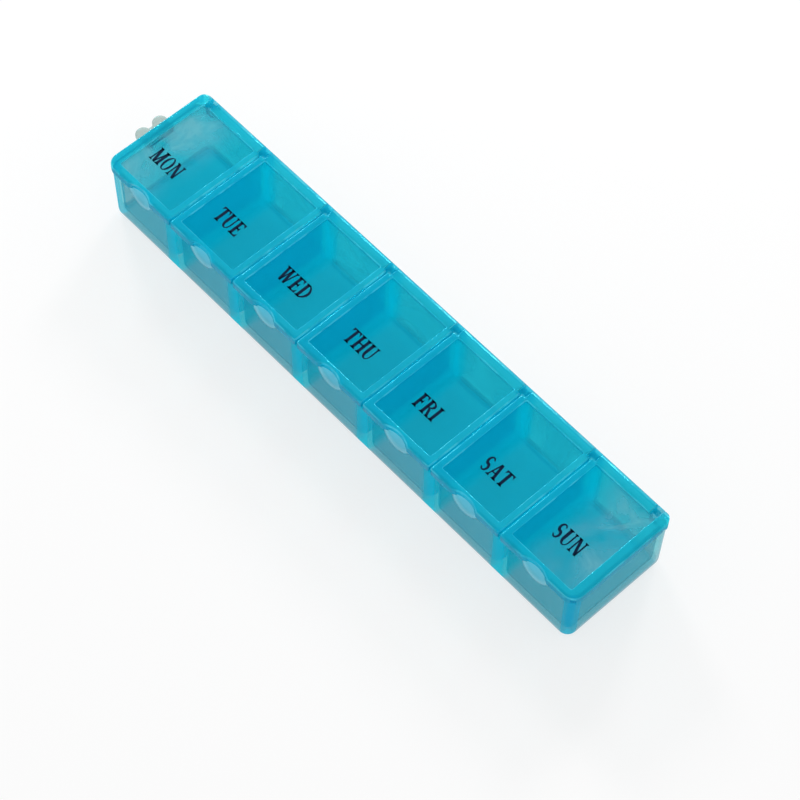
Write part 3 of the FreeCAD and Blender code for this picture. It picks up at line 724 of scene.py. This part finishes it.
for day, cell_middle in zip(DAYS, CELL_MIDDLES):
    dish_points, dish_faces, dish_reach = finger_dish(cell_middle)
    dish_mesh = bpy.data.meshes.new(f"finger_dish_{day}")
    dish_mesh.from_pydata(dish_points.tolist(), [], dish_faces)
    dish_mesh.attributes.new("reach", "FLOAT", "POINT").data.foreach_set("value", dish_reach)
    dish_mesh.shade_smooth()
    dish_mesh.materials.append(dish_plastic)
    dish = put_in_scene(bpy.data.objects.new(f"finger_dish_{day}", dish_mesh))
    dish_wall = dish.modifiers.new("thickness", "SOLIDIFY")
    dish_wall.thickness = DISH_WALL
    dish_wall.offset = INWARDS
    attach(dish, "tray")
    normals = np.empty(3 * len(dish_mesh.polygons))
    dish_mesh.polygons.foreach_get("normal", normals)
    print(dish.name, len(dish_mesh.polygons), "faces, all out:", bool((normals[1::3] < 0).all()))

# %% [markdown]
# ## The days on the lids
#
# Each lid names its day in dark ink, pressed on near the front of its panel. A font could write
# the words, but ink that is stamped on plastic is a thin slab with its own thickness and edge, and
# the letters need only a few kinds of stroke. So each letter is a handful of strips. A strip is
# two edge curves with the same number of points, in units of the capitals' height, and the ink
# fills the band between them.

# %% straight strokes
STEM = 0.19
HAIRLINE = 0.09
SERIF = 0.06
OVERHANG = 0.07
BRACKET = 0.05
BEAK_POWER = 1.5
CURVE_POINTS = 13


def leg(low, high, width, bottom=0.0, top=1.0):
    """A straight stroke. Formula: its middle runs from (low, bottom) to (high, top), and its
    ends are cut level."""
    way = np.linspace(0, 1, 2)
    middle = np.column_stack([low + (high - low) * way, bottom + (top - bottom) * way])
    return np.stack([middle - (width / 2, 0), middle + (width / 2, 0)])


def serif(x, stem, level):
    """The flared end of a stroke, on the base line or hung from the top. Formula: one edge is
    level, and the other leaves the stem as the square of the way that is left to the tip."""
    along = np.linspace(-1, 1, CURVE_POINTS) * (stem / 2 + OVERHANG)
    left = 1 - np.clip((np.abs(along) - stem / 2) / OVERHANG, 0, 1)
    inward = 1 - 2 * level
    thickness = inward * (SERIF + BRACKET * left**2)
    flat = np.column_stack([x + along, np.full(CURVE_POINTS, float(level))])
    return np.stack([flat, flat + np.column_stack([0 * along, thickness])])


def arm(start, end, level, inward, droop_start=0.0, droop_end=0.0, beak=0.16):
    """A thin level stroke with a beak at an end. Formula: thickness = hairline + droop * (1 -
    distance from that end / beak) to the power 1.5, down to the hairline."""
    along = np.linspace(start, end, 2 * CURVE_POINTS)
    near_start = np.clip(1 - (along - start) / beak, 0, 1) ** BEAK_POWER
    near_end = np.clip(1 - (end - along) / beak, 0, 1) ** BEAK_POWER
    thickness = HAIRLINE + droop_start * near_start + droop_end * near_end
    flat = np.column_stack([along, np.full(along.size, float(level))])
    return np.stack([flat, flat + np.column_stack([0 * along, inward * thickness])])


print("a stem is", STEM, "of the capitals' height wide, a hairline", HAIRLINE)

# %% round strokes
def bow(outer_middle, outer, inner_middle, inner, start, end):
    """A round stroke. Formula: the band between two ellipses, from one angle to another."""
    turn = np.radians(np.linspace(start, end, 3 * CURVE_POINTS))
    circle = np.column_stack([np.cos(turn), np.sin(turn)])
    return np.stack([outer_middle + circle * outer, inner_middle + circle * inner])


def snake(width, thin, thick):
    """The S. Formula: two ellipse arcs that meet in the middle, the upper from 25 to 270 degrees
    and the lower from 90 back to -155, and a half-width that swells from thin at the tips to
    thick on the spine as a sine squared."""
    points = 3 * CURVE_POINTS
    upper = np.radians(np.linspace(25, 270, points))
    lower = np.radians(np.linspace(90, -155, points))[1:]
    half = (width - thick) / 2
    rise = (1 - thin) / 4
    turn = np.append(upper, lower)
    ring_middle = np.append(np.full(upper.size, 0.5 + rise), np.full(lower.size, 0.5 - rise))
    path = np.column_stack([width / 2 + half * np.cos(turn), ring_middle + rise * np.sin(turn)])
    way = np.gradient(path, axis=0)
    across = np.column_stack([-way[:, 1], way[:, 0]]) / np.linalg.norm(way, axis=1)[:, None]
    bulge = np.sin(np.linspace(0, np.pi, len(path))) ** 2
    swell = (thin + (thick - thin) * bulge)[:, None] / 2
    return np.stack([path - across * swell, path + across * swell])


print("a round stroke has", 3 * CURVE_POINTS, "points on each edge")

# %% [markdown]
# ### The capitals
#
# The seven days need fourteen letters. Each has a width and its strips, in units of the capitals'
# height, so the numbers below are places on a letter as a sign painter would rule it: 0 is the
# base line and 1 the top. Some uprights are thin hairlines, such as the left one of the M, and
# the others are thick stems, which is what makes the words look set in a book's type.

# %% the letters
def capital(width, *strips):
    """A letter: its width, and its strips."""
    return width, strips


def ended_leg(x, width=STEM):
    """An upright with a serif at each end."""
    return leg(x, x, width), serif(x, width, 0), serif(x, width, 1)


CAPITALS = {
    "M": capital(0.84, *ended_leg(0.14, HAIRLINE), leg(0.42, 0.17, 0.18), leg(0.42, 0.66, HAIRLINE),
                 *ended_leg(0.69)),
    "O": capital(0.62, bow((0.31, 0.5), (0.31, 0.51), (0.31, 0.5), (0.16, 0.45), 0, 360)),
    "N": capital(0.72, *ended_leg(0.13, HAIRLINE), leg(0.56, 0.16, 0.18),
                 leg(0.59, 0.59, HAIRLINE), serif(0.59, HAIRLINE, 1)),
    "T": capital(0.64, leg(0.32, 0.32, STEM), serif(0.32, STEM, 0),
                 arm(0.01, 0.63, 1, -1, 0.17, 0.17)),
    "U": capital(0.68, leg(0.15, 0.15, STEM, 0.33), serif(0.15, STEM, 1),
                 leg(0.55, 0.55, HAIRLINE, 0.33), serif(0.55, HAIRLINE, 1),
                 bow((0.326, 0.34), (0.2585, 0.35), (0.374, 0.34), (0.141, 0.27), 180, 360)),
    "E": capital(0.60, *ended_leg(0.16), arm(0.16, 0.54, 1, -1, 0, 0.17),
                 arm(0.16, 0.57, 0, 1, 0, 0.19), arm(0.16, 0.42, 0.47, 1, 0, 0.10, 0.10),
                 arm(0.16, 0.42, 0.54, -1, 0, 0.10, 0.10)),
    "W": capital(0.96, leg(0.30, 0.13, 0.17), leg(0.30, 0.47, HAIRLINE), leg(0.62, 0.45, 0.17),
                 leg(0.62, 0.83, HAIRLINE), serif(0.13, 0.17, 1), serif(0.46, 0.17, 1),
                 serif(0.83, HAIRLINE, 1)),
    "D": capital(0.68, *ended_leg(0.16),
                 bow((0.16, 0.5), (0.50, 0.5), (0.16, 0.5), (0.34, 0.435), -90, 90)),
    "H": capital(0.76, *ended_leg(0.16), *ended_leg(0.60), arm(0.16, 0.60, 0.47, 1)),
    "F": capital(0.56, *ended_leg(0.16), arm(0.16, 0.53, 1, -1, 0, 0.17),
                 arm(0.16, 0.40, 0.47, 1, 0, 0.10, 0.10), arm(0.16, 0.40, 0.54, -1, 0, 0.10, 0.10)),
    "R": capital(0.68, *ended_leg(0.16), leg(0.57, 0.36, 0.17, 0, 0.5), serif(0.57, 0.15, 0),
                 bow((0.16, 0.74), (0.43, 0.26), (0.16, 0.74), (0.27, 0.195), -90, 90)),
    "I": capital(0.33, *ended_leg(0.165)),
    "S": capital(0.52, snake(0.50, 0.08, 0.17)),
    "A": capital(0.70, leg(0.11, 0.33, HAIRLINE), serif(0.11, HAIRLINE, 0), leg(0.57, 0.36, 0.18),
                 serif(0.57, 0.18, 0), arm(0.18, 0.50, 0.30, 1)),
}
print(len(CAPITALS), "letters,", sum(len(strips) for _, strips in CAPITALS.values()), "strips")

# %% [markdown]
# ### From strips to ink
#
# Each strip becomes a closed slab: its band on top, the same band underneath, a wall along both
# edges and a cap at both ends. A strip that meets itself, as the O does, is a ring and needs no
# caps. The underside goes a hair into the lid, so that no two surfaces lie in one plane.

# %% slabs of ink
def slab(strips, low, high):
    """Points and faces of the strips as closed slabs between two heights. Formula: quads between
    neighbouring points of the two edges, wound so that each faces out of its slab."""
    points, faces, count = [], [], 0
    for band in strips:
        x, y = np.vstack([band[0], band[1][::-1]]).T
        if np.sum(x * np.roll(y, -1) - np.roll(x, -1) * y) < 0:
            band = band[::-1]
        ring = np.allclose(band[:, 0], band[:, -1])
        band = band[:, :-1] if ring else band
        n = band.shape[1]
        flat = band.reshape(2 * n, 2)
        points += [np.column_stack([flat, np.full(2 * n, z)]) for z in (high, low)]
        i = np.arange(n if ring else n - 1)
        j = (i + 1) % n
        top, under = count, count + 2 * n
        quads = [
            (top + i, top + j, top + n + j, top + n + i),
            (under + i, under + n + i, under + n + j, under + j),
            (under + i, under + j, top + j, top + i),
            (under + n + j, under + n + i, top + n + i, top + n + j),
        ]
        faces += [np.column_stack(quad) for quad in quads]
        if not ring:
            end = n - 1
            faces.append(np.array([
                (under + n, under, top, top + n),
                (under + end, under + n + end, top + n + end, top + end),
            ]))
        count += 4 * n
    return np.vstack(points), np.vstack(faces)


print("the ink of an I has", len(slab(CAPITALS["I"][1], 0.0, 1.0)[1]), "faces")

# %% words from letters
CAPITAL_HEIGHT = 4.1 * MM
NARROWING = 0.92
LETTER_GAP = 0.045


def word_strips(word, middle, base):
    """A word's strips in metres. Formula: letters in a row, LETTER_GAP apart, about a middle."""
    widths = np.array([CAPITALS[letter][0] for letter in word]) + LETTER_GAP
    starts = np.cumsum(widths) - widths - (widths.sum() - LETTER_GAP) / 2
    scale = CAPITAL_HEIGHT * np.array([NARROWING, 1.0])
    return [
        (strip + (start, 0)) * scale + (middle, base)
        for start, letter in zip(starts, word)
        for strip in CAPITALS[letter][1]
    ]


print("capitals", round(CAPITAL_HEIGHT / MM, 1), "mm high, narrowed to", NARROWING)

# %% [markdown]
# ### The ink
#
# The ink is navy, a little glossy, and patchy at the scale of a fingertip's touch. A stamp never
# leaves the same film twice, so one fine noise gives both its tone and its gloss.

# %% day ink
INK_INDEX = 1.25
INK_GLOSS = (0.2, 0.5, 1.0)
INK_PATCHES = 900
INK_DETAIL = 4
INK_DEEP = (0.0012, 0.005, 0.018)
INK_THIN = (0.004, 0.016, 0.048)
INK_SMOOTH, INK_DULL = 2 / 7, 4 / 7

day_ink = bpy.data.materials.new("day_ink")
day_ink.use_nodes = True
shader(day_ink, "ShaderNodeTexCoord", "place")
ink = day_ink.node_tree.nodes["Principled BSDF"]
ink.inputs["IOR"].default_value = INK_INDEX
ink.inputs["Specular Tint"].default_value = (*INK_GLOSS, 1)
ink_patches = patches(day_ink, INK_PATCHES, INK_DETAIL)
ink_tone = shader(day_ink, "ShaderNodeValToRGB")
ink_tone.color_ramp.elements[0].color = (*INK_DEEP, 1)
ink_tone.color_ramp.elements[1].color = (*INK_THIN, 1)
wire(day_ink, ink_patches, ink_tone.inputs["Fac"])
wire(day_ink, ink_tone.outputs["Color"], ink.inputs["Base Color"])
ink_gloss = ramp(day_ink, ink_patches, 0.0, 1.0, INK_SMOOTH, INK_DULL)
wire(day_ink, ink_gloss, ink.inputs["Roughness"])
lay_out(day_ink)

# %% one word on each lid
INK_THICKNESS = 0.03 * MM
INK_BITE = 0.005 * MM
WORD_MIDDLES = dict(zip(DAYS, (-65.5, -44.0, -22.0, -0.6, 20.6, 41.9, 63.6)))
WORD_BASE = -6.8 * MM

for day, word_middle in WORD_MIDDLES.items():
    word_bands = word_strips(day.upper(), word_middle * MM, WORD_BASE)
    ink_points, ink_faces = slab(word_bands, PANEL_FLOOR - INK_BITE, PANEL_FLOOR + INK_THICKNESS)
    word_mesh = bpy.data.meshes.new(f"day_{day}")
    word_mesh.from_pydata(ink_points.tolist(), [], ink_faces.tolist())
    word_mesh.materials.append(day_ink)
    word = put_in_scene(bpy.data.objects.new(f"day_{day}", word_mesh))
    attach(word, LIDS[day])
    word_length = np.ptp(ink_points[:, 0]) / MM
    print(word.name, round(word_length, 1), "mm long,", len(ink_faces), "faces")

# %% [markdown]
# ## Camera
#
# A row this long and low shows most from high over one end: the lids show their days, and the
# front and one end wall show how deep the cells are. The view is given in plain words: how far
# the eye is turned round the row, how high it is lifted, how far off it stands, and a small roll.
# A long lens keeps the far lids nearly as large as the near ones. The eye slides a few
# millimetres sideways to frame the row, so the lens needs no shift. A tracking constraint could
# aim the camera, but it can't hold the roll, so its three directions are worked out here and set
# as one matrix.

# %% where the eye stands
CAMERA_ROLL = math.radians(1.91)
AZIMUTH = math.radians(45.62)
ELEVATION = math.radians(59.28)
DISTANCE = 575.66 * MM
AIM_RIGHT = 4.64 * MM
AIM_UP = -9.74 * MM

back = Vector((
    math.sin(AZIMUTH) * math.cos(ELEVATION),
    -math.cos(AZIMUTH) * math.cos(ELEVATION),
    math.sin(ELEVATION),
))
level = Vector((math.cos(AZIMUTH), math.sin(AZIMUTH), 0))
upright = back.cross(level)
right = math.cos(CAMERA_ROLL) * level + math.sin(CAMERA_ROLL) * upright
up = back.cross(right)
row_middle = Vector((0, 0, cad_bounds[1][2] / 2))
eye = row_middle + AIM_RIGHT * right + AIM_UP * up + DISTANCE * back
print("eye at", [round(v, 4) for v in eye])

# %% the camera
SENSOR = 36
FOCAL_PIXELS = 2618.2
FRAME_PIXELS = 800
NEAREST, FARTHEST = 0.01, 20

camera_data = bpy.data.cameras.new("studio_camera")
camera_data.sensor_width = SENSOR
camera_data.lens = SENSOR * FOCAL_PIXELS / FRAME_PIXELS
camera_data.clip_start = NEAREST
camera_data.clip_end = FARTHEST
camera = put_in_scene(bpy.data.objects.new("studio_camera", camera_data))
turned = Matrix((right, up, back)).transposed().to_4x4()
camera.matrix_world = Matrix.Translation(eye) @ turned
bpy.context.scene.camera = camera
print("lens", round(camera_data.lens, 1), "mm")

# %% [markdown]
# ## Table
#
# The row stands on a plain white table that runs out of sight. White paint alone comes out a soft
# grey round the row, and more light on it would bleach the plastic. So the table is part paint
# and part plain white that glows by itself, but only for the eye: `Light Path` tells rays that
# come from the camera, off a gloss or through the plastic from all others, and only those see the
# white. No light is added to the row, and the painted part still carries the row's shadow.

# %% the table's top
TABLE_HALF = 1.5
TABLE_DROP = 0.05 * MM

table_corners = np.array([(-1, -1), (1, -1), (1, 1), (-1, 1)]) * TABLE_HALF
floor_points = np.column_stack([table_corners, np.full(4, -TABLE_DROP)])
floor_mesh = bpy.data.meshes.new("studio_floor")
floor_mesh.from_pydata(floor_points.tolist(), [], [(0, 1, 2, 3)])
floor = put_in_scene(bpy.data.objects.new("studio_floor", floor_mesh))
print("table", 2 * TABLE_HALF, "m wide,", TABLE_DROP / MM, "mm under the row")

# %% white paint
TABLE_PAINT = (0.93, 0.93, 0.93)
TABLE_ROUGHNESS = 0.9
WHITE_SHARE = 0.70

floor_paint = bpy.data.materials.new("studio_floor")
floor_paint.use_nodes = True
paint = floor_paint.node_tree.nodes["Principled BSDF"]
paint.inputs["Base Color"].default_value = (*TABLE_PAINT, 1)
paint.inputs["Roughness"].default_value = TABLE_ROUGHNESS
paint.inputs["Specular IOR Level"].default_value = 0.0
white = shader(floor_paint, "ShaderNodeEmission")
white.inputs["Strength"].default_value = 1.0
ray = shader(floor_paint, "ShaderNodeLightPath")
seen = either(floor_paint, ray.outputs["Is Camera Ray"], ray.outputs["Is Glossy Ray"])
seen = either(floor_paint, seen, ray.outputs["Is Transmission Ray"])
white_seen = arithmetic(floor_paint, "MULTIPLY", seen, WHITE_SHARE)
floor_mix = shader(floor_paint, "ShaderNodeMixShader")
wire(floor_paint, white_seen, floor_mix.inputs["Fac"])
wire(floor_paint, paint.outputs[0], floor_mix.inputs[1])
wire(floor_paint, white.outputs[0], floor_mix.inputs[2])
finish_with(floor_paint, floor_mix.outputs[0], "Surface")
floor_mesh.materials.append(floor_paint)
lay_out(floor_paint)

# %% [markdown]
# ## Light
#
# Soft light comes from a white room all round, a little dimmer overhead, because a full bright
# ceiling would lie on the lids as a chalky film. Two small square lamps stand behind the row and
# to its left, as windows would: they draw the fine bright lines along the lids' edges and give
# the row a shadow with a direction. Their power is low, so that a colour still renders about as
# it is written, and the view transform is the plain one, for the same reason.

# %% the white room
AIR_SIDE = 1.0
AIR_TOP = 0.55

world = bpy.data.worlds.new("studio_air")
bpy.context.scene.world = world
world.use_nodes = True
air = world.node_tree.nodes["Background"]
air.inputs["Color"].default_value = (1, 1, 1, 1)
sky = shader(world, "ShaderNodeTexCoord")
sky_axes = shader(world, "ShaderNodeSeparateXYZ")
wire(world, sky.outputs["Generated"], sky_axes.inputs[0])
sky_fade = ramp(world, sky_axes.outputs[2], 0.0, 1.0, AIR_SIDE, AIR_TOP)
wire(world, sky_fade, air.inputs["Strength"])
lay_out(world)

# %% two windows
WINDOW_SIZE = 0.2
WINDOW_POWER = 3.5
WINDOWS = {"back_window": (-0.365, 0.80, 0.48), "left_window": (-0.80, 0.357, 0.48)}


def soft_lamp(name, place):
    """A square lamp that faces the row. Formula: its own -Z axis points from its place to the
    origin, and +Y stays up."""
    data = bpy.data.lights.new(name, "AREA")
    data.shape = "SQUARE"
    data.size = WINDOW_SIZE
    data.energy = WINDOW_POWER
    lamp = put_in_scene(bpy.data.objects.new(name, data))
    aim = (-Vector(place)).to_track_quat("-Z", "Y")
    lamp.matrix_world = Matrix.Translation(place) @ aim.to_matrix().to_4x4()
    print(name, round(Vector(place).length, 2), "m from the row,", WINDOW_POWER, "W")


for window, window_place in WINDOWS.items():
    soft_lamp(window, window_place)
bpy.context.scene.view_settings.view_transform = "Standard"

# %% [markdown]
# ## Sizes and finish
#
# Dressing a part must not resize it. The box of the imported model, kept from the start, is
# written out as plain numbers.

# %% finish
print("packed box in mm", [[round(v / MM, 1) for v in corner] for corner in cad_bounds])
